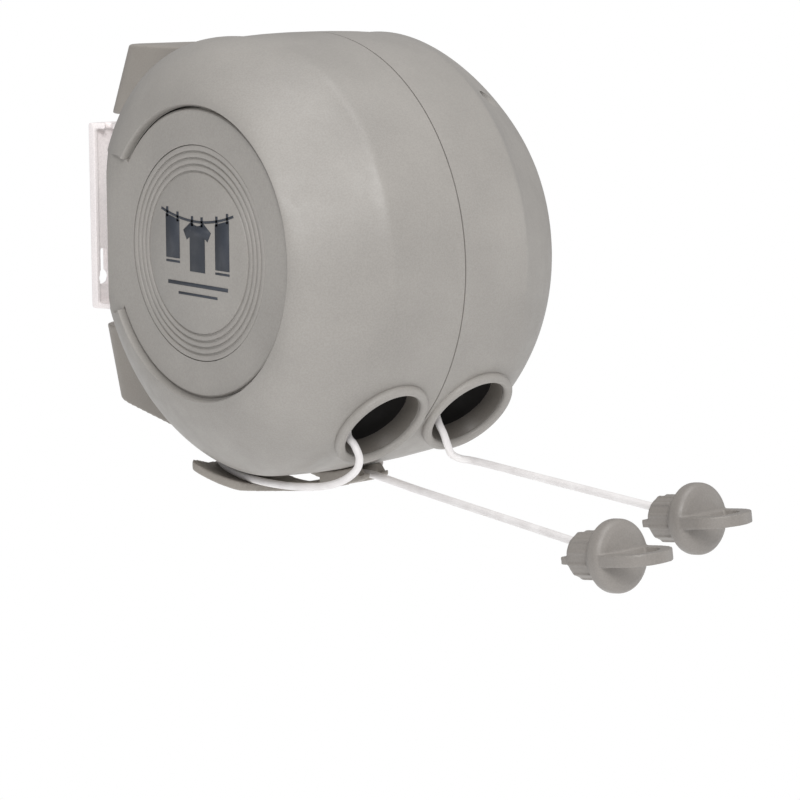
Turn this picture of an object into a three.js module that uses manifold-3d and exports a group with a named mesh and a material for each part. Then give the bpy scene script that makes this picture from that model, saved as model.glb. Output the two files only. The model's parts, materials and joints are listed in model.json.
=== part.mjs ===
// Retractable clothesline: two sprung line reels in one round housing that swivels on a wall bracket.
// Millimetres, +Z up, +Y into the wall, -Y the way the lines run out, X along the reels' axle.
// The origin is the centre of the bracket's back face, on the wall.
import * as THREE from 'three';
import { mergeVertices } from 'three/addons/utils/BufferGeometryUtils.js';
import Module from 'manifold-3d';

const wasm = await Module();
wasm.setup();

// ---- driving dimensions ----
const gap = 0.3; // clearance between touching pieces
const wallDistance = 133; // wall to the middle of the round housing
const housingHeight = -6.4; // middle of the housing, from the middle of the bracket
const housingRadius = 92.6;
const halfWidth = 71.5; // raised side rim, from the mid plane
const wallThickness = 2.6;
const bandHalfWidth = 36; // nearly cylindrical band round the middle
const bandEdgeRadius = 91.2;
const rimRadius = 60; // inner edge of the raised rim round each side face
const faceRadius = 57; // flat side face inside that rim
const faceX = 69;
const shoulderFullness = [1.4, 1.54]; // sideways and outwards: 1 is a straight chamfer, 2 an ellipse
const shoulderBack = 2.5; // how far back the middle of the shoulder sits
const flatStartY = 55.5; // where the rear flat starts on the side face
const flatAngle = 46; // degrees from the axle's direction
const reliefLow = -25; // the rim gap and the rear flat, from the middle of the housing
const reliefHigh = 42;
const axleShift = [-7.3, 5.3]; // the reels' axle, from the middle of the housing, in Y and Z
const axleRadius = 6;
const mouthX = 23.5;
const mouthPlace = [-69.5, -63]; // middle of each mouth's rim, from the middle of the housing, in Y and Z
const mouthAngle = 38; // degrees that the mouths look down
const mouthRadius = 17.6;
const mouthRimRadius = 21.4;
const funnelDepth = 20;
const linerStart = 8.5; // how far inside the rim the dark liner starts
const throatRadius = 3.4;
const lineDiameter = 3.2;
const lineBayMiddle = 21.5; // middle of each reel's line bay, in X
const coilInner = 34.4;
const coilOuter = 53;
const flangeRadius = 62;
const pivotY = 103; // swivel pin, from the middle of the housing
const pinRadius = 4;
const yokeInner = housingRadius + 0.5;
const yokeOuter = housingRadius + 3.7;
const lugHalfWidth = 28;
const lugCornerRadius = 14;
const bracketWidth = 48.4;
const bracketHeight = 84.6;
const plateThickness = 3;
const keyholeX = 19.3;
const handlePitch = 9; // degrees that the pull handles point up
const segments = 36; // sides of the housing
const reelSides = 26;

// ---- materials ----
const plastic = (color, roughness) => new THREE.MeshStandardMaterial({ color, roughness, metalness: 0 });
const metal = (color, roughness) => new THREE.MeshStandardMaterial({ color, roughness, metalness: 1 });
const warmGrey = () => plastic(0xa5a29c, 0.5);
const darkGrey = () => plastic(0x7f7a74, 0.55);
const paleBracket = () => plastic(0xd8d2cf, 0.45);
const whiteVinyl = () => plastic(0xf2eeee, 0.5);
const reelPlastic = () => plastic(0x4a4a4c, 0.5);
const zincSteel = () => metal(0xb8bcc0, 0.35);
const springSteel = () => metal(0x6e7278, 0.3);

// ---- closed solids from three.js geometry ----
function closedMesh(geometry) {
  const bare = new THREE.BufferGeometry();
  bare.setAttribute('position', geometry.getAttribute('position').clone());
  if (geometry.index) bare.setIndex(geometry.index.clone());
  const merged = mergeVertices(bare, 1e-4);
  const source = merged.index.array;
  const kept = [];
  for (let i = 0; i < source.length; i += 3) {
    const [a, b, c] = [source[i], source[i + 1], source[i + 2]];
    if (a !== b && b !== c && a !== c) kept.push(a, b, c);
  }
  merged.setIndex(kept);
  return signedVolume(merged) < 0 ? reversed(merged) : merged;
}

function signedVolume(geometry) {
  const p = geometry.getAttribute('position');
  const index = geometry.index.array;
  const a = new THREE.Vector3();
  const b = new THREE.Vector3();
  const c = new THREE.Vector3();
  let volume = 0;
  for (let i = 0; i < index.length; i += 3) {
    a.fromBufferAttribute(p, index[i]);
    b.fromBufferAttribute(p, index[i + 1]);
    c.fromBufferAttribute(p, index[i + 2]);
    volume += a.dot(b.cross(c)) / 6;
  }
  return volume;
}

function reversed(geometry) {
  const index = geometry.index.array;
  for (let i = 0; i < index.length; i += 3) {
    [index[i], index[i + 1]] = [index[i + 1], index[i]];
  }
  return geometry;
}

function solid(geometry) {
  const mesh = closedMesh(geometry);
  return new wasm.Manifold(new wasm.Mesh({
    numProp: 3,
    vertProperties: new Float32Array(mesh.getAttribute('position').array),
    triVerts: new Uint32Array(mesh.index.array),
  }));
}

function surface(body) {
  const mesh = body.getMesh();
  const geometry = new THREE.BufferGeometry();
  geometry.setAttribute('position', new THREE.BufferAttribute(new Float32Array(mesh.vertProperties), 3));
  geometry.setIndex(new THREE.BufferAttribute(new Uint32Array(mesh.triVerts), 1));
  return geometry;
}

// A body turned round +X from [radius, x] points.
function turned(profile, sides = segments) {
  const points = profile.map(([r, x]) => new THREE.Vector2(r, x));
  return new THREE.LatheGeometry(points, sides).rotateZ(-Math.PI / 2);
}

// The same, closed on itself, for a ring that doesn't reach the axis.
const turnedRing = (profile, sides) => turned([...profile, profile[0]], sides);

function box(x, y, z, at) {
  return new THREE.BoxGeometry(x, y, z).translate(...at);
}

// An upright round post between two heights.
function post(radius, low, high, at = [0, 0], sides = 20) {
  const height = high - low;
  return new THREE.CylinderGeometry(radius, radius, height, sides)
    .rotateX(Math.PI / 2)
    .translate(at[0], at[1], (low + high) / 2);
}

// A plan outline in X and Y, raised between two heights.
function slab(outline, low, high, curveSegments = 6) {
  return new THREE.ExtrudeGeometry(outline, { depth: high - low, bevelEnabled: false, curveSegments })
    .translate(0, 0, low);
}

// A round tube along hand-placed points.
function tube(points, diameter, steps, sides = 8) {
  const section = new THREE.Shape();
  for (let i = 0; i < sides; i += 1) {
    const angle = (2 * Math.PI * i) / sides;
    const [x, y] = [Math.cos(angle) * diameter / 2, Math.sin(angle) * diameter / 2];
    if (i === 0) section.moveTo(x, y);
    else section.lineTo(x, y);
  }
  const extrudePath = new THREE.CatmullRomCurve3(points.map((p) => new THREE.Vector3(...p)));
  return new THREE.ExtrudeGeometry(section, { steps, extrudePath, bevelEnabled: false });
}

function mirrored(geometry) {
  return closedMesh(geometry.clone().scale(-1, 1, 1));
}

function add(group, name, geometry, material) {
  const mesh = new THREE.Mesh(closedMesh(geometry), material);
  mesh.name = name;
  group.add(mesh);
  return mesh;
}

// ---- frames ----
const radians = THREE.MathUtils.degToRad;
const model = new THREE.Group();
const housing = new THREE.Group();
housing.position.set(0, -wallDistance, housingHeight);
model.add(housing);
const reels = new THREE.Group();
reels.position.set(0, ...axleShift);
housing.add(reels);

// ---- housing shells ----
// Each station of the left shell: x, radius, how far it is up the shoulder from the rim (0) to the
// band (1), and its share of the shoulder's bulge. Low stations are round the axle, high ones round
// the middle of the housing.
function shoulder() {
  const [sideways, outwards] = shoulderFullness;
  const stations = [];
  const steps = 7;
  for (let i = 1; i < steps; i += 1) {
    const t = (i / steps) * (Math.PI / 2);
    const out = Math.cos(t) ** (2 / sideways);
    const up = Math.sin(t) ** (2 / outwards);
    const x = bandHalfWidth + (halfWidth - bandHalfWidth) * out;
    stations.push([x, rimRadius + (bandEdgeRadius - rimRadius) * up, up, Math.sin(2 * t)]);
  }
  return stations;
}

const outsideStations = () => [
  [faceX, 0, 0, 0],
  [faceX, faceRadius, 0, 0],
  [halfWidth, rimRadius, 0, 0],
  ...shoulder(),
  [bandHalfWidth, bandEdgeRadius, 1, 0],
  [22, housingRadius - 0.4, 1, 0],
  [gap / 2, housingRadius, 1, 0],
  [gap / 2, 0, 1, 0],
];

const insideStations = () => [
  [faceX - 8, 0, 0, 0],
  [faceX - 8, 11, 0, 0],
  [faceX - wallThickness, 11, 0, 0],
  [faceX - wallThickness, faceRadius - 2, 0, 0],
  [halfWidth - 6, rimRadius, 0.1, 0.3],
  [halfWidth - 19, 76, 0.65, 1],
  [bandHalfWidth - 1, bandEdgeRadius - wallThickness, 1, 0],
  [gap / 2, housingRadius - wallThickness, 1, 0],
  [-1, housingRadius - wallThickness, 1, 0],
  [-1, 0, 1, 0],
];

// The shoulder is fuller at the top of the back and at the mouths than between them.
function outOfRound(angle) {
  const twice = 3.4 * Math.sin(2 * angle) - 1.6 * Math.cos(2 * angle);
  return twice - 0.8 * Math.sin(3 * angle) - 0.6 * Math.cos(3 * angle);
}

function turnedStations(stations) {
  const geometry = turned(stations.map(([x, r]) => [r, -x]));
  const p = geometry.getAttribute('position');
  for (let i = 0; i < p.count; i += 1) {
    const [, radius, up, bulge] = stations[i % stations.length];
    const angle = Math.atan2(p.getZ(i), p.getY(i));
    const size = radius ? 1 + (bulge * outOfRound(angle)) / radius : 1;
    const back = (1 - up ** 1.5) * axleShift[0] + bulge * shoulderBack;
    p.setY(i, p.getY(i) * size + back);
    p.setZ(i, p.getZ(i) * size + (1 - up ** 1.67) * axleShift[1]);
  }
  return solid(geometry);
}

// The flat on the shell's rear corner, which lets the housing swivel close to the wall.
function rearFlat(inset) {
  const outline = new THREE.Shape();
  const y = flatStartY - 1.4 * inset;
  const slope = Math.tan(radians(flatAngle));
  outline.moveTo(-faceX - 10, y - 10 * slope);
  outline.lineTo(-faceX + 45, y + 45 * slope);
  outline.lineTo(-faceX + 45, 130);
  outline.lineTo(-faceX - 10, 130);
  outline.closePath();
  return solid(slab(outline, reliefLow - inset, reliefHigh + inset));
}

// A turned piece laid along the left mouth's axis: x in the profile is the distance out of the mouth.
function alongMouth(profile, sides) {
  return turned(profile, sides)
    .rotateZ(-Math.PI / 2)
    .rotateX(radians(mouthAngle))
    .translate(-mouthX, ...mouthPlace);
}

function mouthCollar() {
  const r = mouthRimRadius;
  return solid(alongMouth([
    [0, 0.6], [r - 2.4, 0.6], [r - 0.6, -0.2], [r, -1.8], [r - 0.6, -3.4], [r, -5], [r + 1.4, -8],
    [r + 0.6, -12], [18.6, -14], [18.6, -funnelDepth - 1.5], [0, -funnelDepth - 1.5],
  ], 24));
}

function mouthFunnel() {
  const [r, seat] = [mouthRadius, mouthRadius + 0.3];
  return solid(alongMouth([
    [0, 1.5], [r + 1.2, 1.5], [r + 0.5, -0.2], [r, -1.5], [r - 0.6, -linerStart], [seat, -linerStart],
    [seat, -funnelDepth + 0.5], [6.2, -funnelDepth + 0.5], [6.2, -funnelDepth - 2.5], [0, -funnelDepth - 2.5],
  ], 24));
}

const screwPlaces = [50, 95, 128, 258, 318].map((angle) => [
  82 * Math.cos(radians(angle)),
  82 * Math.sin(radians(angle)),
]);

function postAlongX(radius, low, high, [y, z], sides = 14) {
  return new THREE.CylinderGeometry(radius, radius, high - low, sides)
    .rotateZ(Math.PI / 2)
    .translate((low + high) / 2, y, z);
}

// The gap in the side rim, level with the rear flat.
function rimGap() {
  const outline = new THREE.Shape();
  outline.moveTo(36, 30);
  outline.quadraticCurveTo(38, reliefHigh, 46, reliefHigh);
  outline.lineTo(90, reliefHigh);
  outline.lineTo(90, reliefLow);
  outline.lineTo(51, reliefLow);
  outline.quadraticCurveTo(43, reliefLow, 43.5, -16);
  outline.lineTo(36, 30);
  const plate = new THREE.ExtrudeGeometry(outline, { depth: 6, bevelEnabled: false, curveSegments: 5 });
  // The outline's X is the housing's Y and its Y is the housing's Z.
  plate.applyMatrix4(new THREE.Matrix4().makeBasis(
    new THREE.Vector3(0, 1, 0),
    new THREE.Vector3(0, 0, 1),
    new THREE.Vector3(1, 0, 0),
  ));
  return solid(plate.translate(-faceX - 6, 0, 0));
}

const yokeScrewPlaces = [-13, 13];
const yokeScrewZ = 8;
const cleatScrews = [[-4.2, 29.5], [4.2, 29.5]]; // X and Y

const postAlongY = (radius, low, high, x, z, sides = 14) => (
  new THREE.CylinderGeometry(radius, radius, high - low, sides).translate(x, (low + high) / 2, z)
);

function shell(wellRadius) {
  let body = turnedStations(outsideStations()).add(mouthCollar());
  body = body.subtract(rearFlat(0)).subtract(rimGap());
  let room = turnedStations(insideStations()).subtract(rearFlat(wallThickness));
  for (const place of screwPlaces) room = room.subtract(solid(postAlongX(4.6, -52, 2, place)));
  room = room.subtract(solid(postAlongY(4.5, 80, 95, yokeScrewPlaces[0], yokeScrewZ)));
  room = room.subtract(solid(post(4, -95, -74, cleatScrews[0])));
  room = room.subtract(mouthCollar()).add(mouthFunnel());
  room = room.add(solid(postAlongY(screwHole, 84, 96, yokeScrewPlaces[0], yokeScrewZ)));
  room = room.add(solid(post(screwHole, -96, -78, cleatScrews[0], 12)));
  room = room.add(solid(postAlongX(axleRadius + gap, -faceX + wallThickness, 0, axleShift, 24)));
  for (const place of screwPlaces) {
    room = room.add(solid(postAlongX(screwHole, -36, 1, place)));
    if (wellRadius) room = room.add(solid(postAlongX(wellRadius, -72, -30, place)));
  }
  body = body.subtract(room);
  return surface(body.subtract(solid(box(20, 260, 260, [10 - gap / 2, 0, 0]))));
}

const screwHole = 1.9;
const screwShank = 1.6;
const screwHeadRadius = 3.2;

function addShells() {
  add(housing, 'left_shell', shell(0), warmGrey());
  add(housing, 'right_shell', mirrored(shell(screwHeadRadius + 0.4)), warmGrey());
}

function addShellScrews() {
  screwPlaces.forEach((place, i) => {
    const screw = turned([
      [0, -26], [screwShank, -25], [screwShank, 30.3], [screwHeadRadius, 30.3], [screwHeadRadius, 32.4],
      [1, 33], [0, 33],
    ], 12).translate(0, ...place);
    add(housing, `shell_screw_${i + 1}`, screw, zincSteel());
  });
}

// A dark funnel-shaped liner in each mouth, with the throat that the line runs through.
function addLineGuides() {
  const [r, start, end] = [mouthRadius, -linerStart - gap, -funnelDepth + 0.8];
  const liner = alongMouth([
    [r - 1.2, start], [r, start], [r, end], [5.9, end], [5.9, end - 3], [4.6, end - 3],
    [throatRadius, end - 1.4], [throatRadius, end + 1], [5, end + 2.2], [9, end + 3.2], [12.6, end + 4.8],
    [14.6, end + 7.2], [r - 1.2, start],
  ], 20);
  add(housing, 'left_line_guide', liner, reelPlastic());
  add(housing, 'right_line_guide', mirrored(liner), reelPlastic());
}

// ---- reels ----
function addAxle() {
  const end = faceX - wallThickness - 0.4;
  const profile = [[0, -end], [axleRadius, -end], [axleRadius, end], [0, end]];
  add(reels, 'axle', turned(profile, 24), zincSteel());
}

function addPartition() {
  const ring = turnedRing([[axleRadius + gap, -1], [66, -1], [66, 1], [axleRadius + gap, 1]], reelSides);
  add(reels, 'centre_partition', ring, reelPlastic());
}

function spool() {
  const [inner, outer] = [lineBayMiddle - 17, lineBayMiddle + 17];
  const bore = axleRadius + 0.4;
  return turnedRing([
    [bore, -inner], [9.5, -inner], [9.5, -outer + 2], [31.5, -outer + 2], [31.5, -inner],
    [flangeRadius, -inner], [flangeRadius, -inner - 2], [coilInner - gap, -inner - 2],
    [coilInner - gap, -outer + 2], [flangeRadius, -outer + 2],
    [flangeRadius, -outer], [45, -outer], [45, -61], [42, -61], [42, -outer - 2], [bore, -outer - 2],
  ], reelSides);
}

function woundLine() {
  const [inner, outer] = [lineBayMiddle - 15 + gap, lineBayMiddle + 15 - gap];
  return turnedRing([
    [coilInner, -inner], [coilOuter - 1, -inner], [coilOuter, -inner - 4], [coilOuter, -outer + 4],
    [coilOuter - 1, -outer], [coilInner, -outer],
  ], reelSides);
}

// A flat spiral spring: hooked on the axle's sleeve inside, on the cup's wall outside.
function spiralSpring() {
  const turns = 3.5;
  const perTurn = 14;
  const half = 0.45;
  const count = turns * perTurn;
  const inside = [];
  const outside = [];
  for (let i = 0; i <= count; i += 1) {
    const angle = (2 * Math.PI * i) / perTurn;
    const radius = 8 + (31.5 * i) / count;
    inside.push([Math.cos(angle) * (radius - half), Math.sin(angle) * (radius - half)]);
    outside.push([Math.cos(angle) * (radius + half), Math.sin(angle) * (radius + half)]);
  }
  const outline = new THREE.Shape();
  [...outside, ...inside.reverse()].forEach(([x, y], i) => (i ? outline.lineTo(x, y) : outline.moveTo(x, y)));
  return new THREE.ExtrudeGeometry(outline, { depth: 17, bevelEnabled: false })
    .rotateY(Math.PI / 2)
    .translate(-59.5, 0, 0);
}

function springCover() {
  return turnedRing([[12, -61.3], [44.8, -61.3], [44.8, -63.3], [12, -63.3]], reelSides);
}

function addReels() {
  const pieces = {
    spool: [spool(), reelPlastic],
    wound_line: [woundLine(), whiteVinyl],
    spring: [spiralSpring(), springSteel],
    spring_cover: [springCover(), reelPlastic],
  };
  for (const [name, [geometry, material]] of Object.entries(pieces)) {
    add(reels, `left_${name}`, geometry, material());
    add(reels, `right_${name}`, mirrored(geometry), material());
  }
}

// ---- swivel yoke behind the housing, with the pin through its two lugs ----
// Each lug leans forward with its distance from the bracket, by the lean for each millimetre.
const topLug = { low: 54, high: 85, rear: 118, bracketEnd: 54, lean: -0.445 };
const bottomLug = { low: -84, high: -41.5, rear: 125, bracketEnd: -41.5, lean: 0.3 };
const yokeHalfWidth = 20;

function lug({ low, high, rear, bracketEnd, lean }) {
  const [w, r] = [lugHalfWidth, lugCornerRadius];
  const outline = new THREE.Shape();
  outline.moveTo(-w, 20);
  outline.lineTo(w, 20);
  outline.lineTo(w, rear - r);
  outline.absarc(w - r, rear - r, r, 0, Math.PI / 2, false);
  outline.lineTo(-w + r, rear);
  outline.absarc(-w + r, rear - r, r, Math.PI / 2, Math.PI, false);
  const shear = new THREE.Matrix4().makeShear(0, 0, 0, 0, 0, 0);
  shear.elements[9] = lean; // Y from Z
  const upright = slab(outline, low - bracketEnd, high - bracketEnd);
  return solid(upright.applyMatrix4(shear).translate(0, 0, bracketEnd));
}

function yoke() {
  const web = turnedRing([
    [yokeInner, -yokeHalfWidth], [yokeOuter, -yokeHalfWidth], [yokeOuter, yokeHalfWidth],
    [yokeInner, yokeHalfWidth],
  ], 72);
  const rearHalf = solid(box(60, 120, 116, [0, 80, 10]));
  let body = solid(web).intersect(rearHalf);
  const round = solid(turned([[0, -60], [yokeInner, -60], [yokeInner, 60], [0, 60]], 72));
  for (const place of [topLug, bottomLug]) body = body.add(lug(place).subtract(round));
  // The underside of the bottom lug drops towards the front.
  body = body.subtract(solid(box(80, 120, 24, [0, 0, -12]).rotateX(radians(9.5)).translate(0, 113, -73.7)));
  body = body.subtract(solid(post(pinRadius + gap, -120, pinTop + gap, [0, pivotY])));
  body = body.subtract(solid(post(pinHeadRadius + gap, -120, pinHeadZ, [0, pivotY])));
  for (const x of yokeScrewPlaces) body = body.subtract(solid(postAlongY(screwHole, 84, 104, x, yokeScrewZ)));
  return body;
}

const pinTop = 63;
const pinHeadZ = -66;
const pinHeadRadius = 6.5;

function addYoke() {
  add(housing, 'swivel_yoke', surface(yoke()), darkGrey());
  const pin = new THREE.LatheGeometry([
    [0, pinHeadZ - 3.4], [pinHeadRadius - 0.6, pinHeadZ - 3.4], [pinHeadRadius, pinHeadZ - 2.8],
    [pinHeadRadius, pinHeadZ - gap], [pinRadius, pinHeadZ - gap], [pinRadius, pinTop - 1],
    [pinRadius - 1, pinTop], [0, pinTop],
  ].map(([r, z]) => new THREE.Vector2(r, z)), 20).rotateX(Math.PI / 2);
  add(housing, 'swivel_pin', pin.translate(0, pivotY, 0), zincSteel());
  const clip = turnedRing([[pinRadius + gap, 0], [7.5, 0], [7.5, 1.2], [pinRadius + gap, 1.2]], 16)
    .rotateY(-Math.PI / 2)
    .translate(0, pivotY, 43);
  add(housing, 'pin_clip', clip, zincSteel());
  yokeScrewPlaces.forEach((x, i) => {
    const screw = new THREE.LatheGeometry([
      [0, 85], [screwShank, 86], [screwShank, 96.6], [3.4, 96.6], [3.4, 98.2], [0, 98.8],
    ].map(([r, y]) => new THREE.Vector2(r, y)), 12).translate(x, 0, yokeScrewZ);
    add(housing, `yoke_screw_${i + 1}`, screw, zincSteel());
  });
}

// ---- line cleat under the housing ----
const cleatInner = 97.3; // the line is wound in the gap between this and the housing
const cleatOuter = 101.5;
const toeOuter = 99.4;
const legHalfWidth = 7.8;
const notchHalfWidth = 2.4; // the line leaves through the notch in the toe
const toeBack = -11.5;
const rearLeg = [23.5, 35.5]; // from and to, in Y

// A ring round the housing that closes in on it towards its two sides.
function cleatRing() {
  const inside = [[cleatInner, 0], [cleatInner, 14], [96.8, 30], [96, 36], [94.2, 42], [91.6, 52]];
  const edge = [[95, 52], [96.2, 48], [97.6, 44], [98.8, 40], [100, 30]];
  const outside = [...edge, [cleatOuter, 15], [cleatOuter, 0]];
  const half = [...inside, ...outside];
  const mirroredHalf = half.slice(1, -1).reverse().map(([r, x]) => [r, -x]);
  return solid(turnedRing([...half, ...mirroredHalf], 90));
}

function roundBand(inner, outer, halfLength) {
  const [low, high] = [-halfLength, halfLength];
  return solid(turnedRing([[inner, low], [outer, low], [outer, high], [inner, high]], 90));
}

// Two horns swept back, in plan, with an opening between the legs.
function hornOutline() {
  const outline = new THREE.Shape();
  outline.moveTo(0, -9);
  outline.lineTo(10, -9);
  outline.quadraticCurveTo(14, -1.5, 22, -0.5);
  outline.lineTo(38, 2.5);
  outline.quadraticCurveTo(42.5, 4, 44, 12);
  outline.lineTo(46.5, 23);
  outline.quadraticCurveTo(48, 30.5, 42.5, 30.5);
  outline.quadraticCurveTo(32, 30, 22, 37);
  outline.quadraticCurveTo(14, 42, 0, 42);
  outline.quadraticCurveTo(-14, 42, -22, 37);
  outline.quadraticCurveTo(-32, 30, -42.5, 30.5);
  outline.quadraticCurveTo(-48, 30.5, -46.5, 23);
  outline.lineTo(-44, 12);
  outline.quadraticCurveTo(-42.5, 4, -38, 2.5);
  outline.lineTo(-22, -0.5);
  outline.quadraticCurveTo(-14, -1.5, -10, -9);
  outline.lineTo(0, -9);
  const opening = new THREE.Path();
  opening.moveTo(-9, toeBack + 5);
  opening.lineTo(-9, rearLeg[0] - 1);
  opening.lineTo(9, rearLeg[0] - 1);
  opening.lineTo(9, toeBack + 5);
  outline.holes.push(opening);
  return outline;
}

// The toe in plan: two prongs with the notch between them.
function toeOutline() {
  const n = notchHalfWidth;
  const outline = new THREE.Shape();
  outline.moveTo(-10, toeBack + 6);
  outline.lineTo(-9, toeBack);
  outline.lineTo(-legHalfWidth, -32);
  outline.quadraticCurveTo(-legHalfWidth, -38, -5, -39.5);
  outline.lineTo(-n, -30);
  outline.lineTo(-n, -27);
  outline.lineTo(n, -27);
  outline.lineTo(n, -30);
  outline.lineTo(5, -39.5);
  outline.quadraticCurveTo(legHalfWidth, -38, legHalfWidth, -32);
  outline.lineTo(9, toeBack);
  outline.lineTo(10, toeBack + 6);
  return outline;
}

// The toe's two fins, up to the housing; their front edges slope.
function finOutline() {
  const outline = new THREE.Shape();
  outline.moveTo(toeBack, -60);
  outline.lineTo(toeBack, -120);
  outline.lineTo(-46, -120);
  outline.lineTo(-38, -93);
  outline.lineTo(-29, -84);
  outline.lineTo(-24, -60);
  const matrix = new THREE.Matrix4().makeBasis(
    new THREE.Vector3(0, 1, 0),
    new THREE.Vector3(0, 0, 1),
    new THREE.Vector3(1, 0, 0),
  );
  const plate = new THREE.ExtrudeGeometry(outline, { depth: 30, bevelEnabled: false });
  return plate.applyMatrix4(matrix).translate(-15, 0, 0);
}

function cleat() {
  const horns = cleatRing().intersect(solid(slab(hornOutline(), -110, -60, 5)));
  const toePlan = solid(slab(toeOutline(), -110, -60, 5));
  const toe = roundBand(cleatInner, toeOuter, 14).intersect(toePlan);
  const seat = yokeInner - 0.2;
  const between = solid(box(2 * notchHalfWidth, 60, 60, [0, -30, -90]));
  const finBand = roundBand(seat, toeOuter - 0.5, 14).intersect(toePlan);
  const fins = finBand.intersect(solid(finOutline())).subtract(between);
  const [from, to] = rearLeg;
  const legBlock = solid(box(2 * legHalfWidth, to - from, 60, [0, (from + to) / 2, -90]));
  const leg = roundBand(seat, 99, 14).intersect(legBlock);
  let body = horns.add(toe).add(fins).add(leg);
  for (const place of cleatScrews) {
    body = body.subtract(solid(post(screwHole, -120, -70, place, 12)));
    body = body.subtract(solid(post(3.5, -120, cleatScrewHead + 2, place, 16)));
  }
  return body;
}

const cleatScrewHead = -93.8;

function addCleat() {
  add(housing, 'line_cleat', surface(cleat()), darkGrey());
  cleatScrews.forEach((place, i) => {
    const screw = new THREE.LatheGeometry([
      [0, cleatScrewHead - 0.5], [3.1, cleatScrewHead], [3.1, cleatScrewHead + 1.7],
      [screwShank, cleatScrewHead + 1.7], [screwShank, -80], [0, -79],
    ].map(([r, z]) => new THREE.Vector2(r, z)), 12).rotateX(Math.PI / 2).translate(...place, 0);
    add(housing, `cleat_screw_${i + 1}`, screw, zincSteel());
  });
}

// ---- wall bracket, in the model's own frame ----
const pinY = pivotY - wallDistance;
const noseRadius = 11;
const flangeThickness = 2.6;
const keyholeLow = -28.2; // middle of the two low keyholes' round ends
const keyholeTop = 16;

function keyhole(x, z) {
  const outline = new THREE.Shape();
  const meet = Math.asin(1.5 / 3.4);
  outline.absarc(x, z, 3.4, Math.PI / 2 - meet, -1.5 * Math.PI + meet, true);
  outline.lineTo(x - 1.5, z + 12);
  outline.absarc(x, z + 12, 1.5, Math.PI, 0, true);
  const cut = new THREE.ExtrudeGeometry(outline, { depth: 20, bevelEnabled: false, curveSegments: 6 });
  return solid(cut.rotateX(Math.PI / 2).translate(0, 10, 0));
}

function roundedPlate() {
  const [w, h, r] = [bracketWidth / 2, bracketHeight / 2, 2];
  const outline = new THREE.Shape();
  outline.moveTo(-w + r, -h);
  outline.absarc(w - r, -h + r, r, -Math.PI / 2, 0, false);
  outline.absarc(w - r, h - r, r, 0, Math.PI / 2, false);
  outline.absarc(-w + r, h - r, r, Math.PI / 2, Math.PI, false);
  outline.absarc(-w + r, -h + r, r, Math.PI, 1.5 * Math.PI, false);
  return outline;
}

// The plate's outline, raised off the wall.
function upright(outline, depth) {
  const plate = new THREE.ExtrudeGeometry(outline, { depth, bevelEnabled: false, curveSegments: 4 });
  return plate.rotateX(Math.PI / 2);
}

function bracketFlange(low) {
  const w = bracketWidth / 2;
  const away = Math.hypot(w, pinY + plateThickness);
  const lean = Math.asin(noseRadius / away) - Math.atan2(w, -pinY - plateThickness);
  const outline = new THREE.Shape();
  outline.moveTo(w, -0.5);
  outline.lineTo(-w, -0.5);
  outline.lineTo(-w, -plateThickness);
  outline.absarc(0, pinY, noseRadius, Math.PI - lean, 2 * Math.PI + lean, false);
  outline.lineTo(w, -plateThickness);
  outline.lineTo(w, -0.5);
  return solid(slab(outline, low, low + flangeThickness, 9));
}

function bracket() {
  const [w, h, t] = [bracketWidth, bracketHeight, plateThickness];
  let body = solid(upright(roundedPlate(), t));
  const lips = solid(upright(roundedPlate(), t + 1.5)).subtract(solid(box(w - 3.6, 20, h, [0, 0, 0])));
  body = body.add(lips).add(bracketFlange(h / 2 - flangeThickness)).add(bracketFlange(-h / 2));
  for (const side of [-1, 1]) {
    body = body.subtract(keyhole(side * keyholeX, keyholeLow));
    const notch = box(8, 3, 10, [0, 0, 0]).rotateZ(side * -1).translate(side * 19, -8.6, h / 2);
    body = body.subtract(solid(notch));
  }
  body = body.subtract(keyhole(0, keyholeTop));
  return body.subtract(solid(post(pinRadius + gap, -h, h, [0, pinY])));
}

function addBracket() {
  add(model, 'wall_bracket', surface(bracket()), paleBracket());
}

// ---- pull handles ----
const leftHandle = [-24, -201.6, -92.4]; // middle of each handle's flange, from the middle of the housing
const rightHandle = [24, -197.5, -86.2];
const leftRunStart = [0, -32, -91.1]; // where each line's straight run to its handle starts
const rightRunStart = [24, -76, -82.9];

// Along +X here: the plug's rear is at low x, the ring at high x, and the ring lies flat in X and Y.
function handle() {
  const plug = turned([
    [0, -19.5], [7.8, -19.5], [8.7, -18], [8.7, -6], [11.5, -6], [11.5, -3.4], [13.3, -3.4], [13.8, -2.8],
    [13.8, 1.2], [12.8, 2.8], [9, 4.2], [0, 4.8],
  ], 22);
  const outer = new THREE.Shape();
  outer.moveTo(-1, -13);
  outer.absarc(9.5, 0, 13, -Math.PI / 2, Math.PI / 2, false);
  outer.lineTo(-1, 13);
  const hole = new THREE.Path();
  hole.moveTo(5.5, -8.4);
  hole.absarc(9.5, 0, 8.4, -Math.PI / 2, Math.PI / 2, false);
  hole.lineTo(5.5, 8.4);
  outer.holes.push(hole);
  const ring = slab(outer, -2.2, 2.2, 10);
  const rib = box(8, 16.4, 3, [-18.2, 0, -1]);
  return solid(plug).add(solid(ring)).add(solid(rib));
}

const fromTo = (a, b) => new THREE.Vector3(...b).sub(new THREE.Vector3(...a)).normalize();

// The point on a line's straight run that is this far behind its handle's flange.
function behind(handlePlace, runStart, distance) {
  const run = fromTo(runStart, handlePlace);
  return new THREE.Vector3(...handlePlace).addScaledVector(run, -distance).toArray();
}

function placedHandle(place, runStart) {
  const made = surface(handle()).rotateZ(-Math.PI / 2).rotateX(-radians(handlePitch)).translate(...place);
  const bore = tube([behind(place, runStart, 32), behind(place, runStart, 8.5)], lineDiameter + 1.2, 1, 14);
  return surface(solid(made).subtract(solid(bore)));
}

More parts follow.
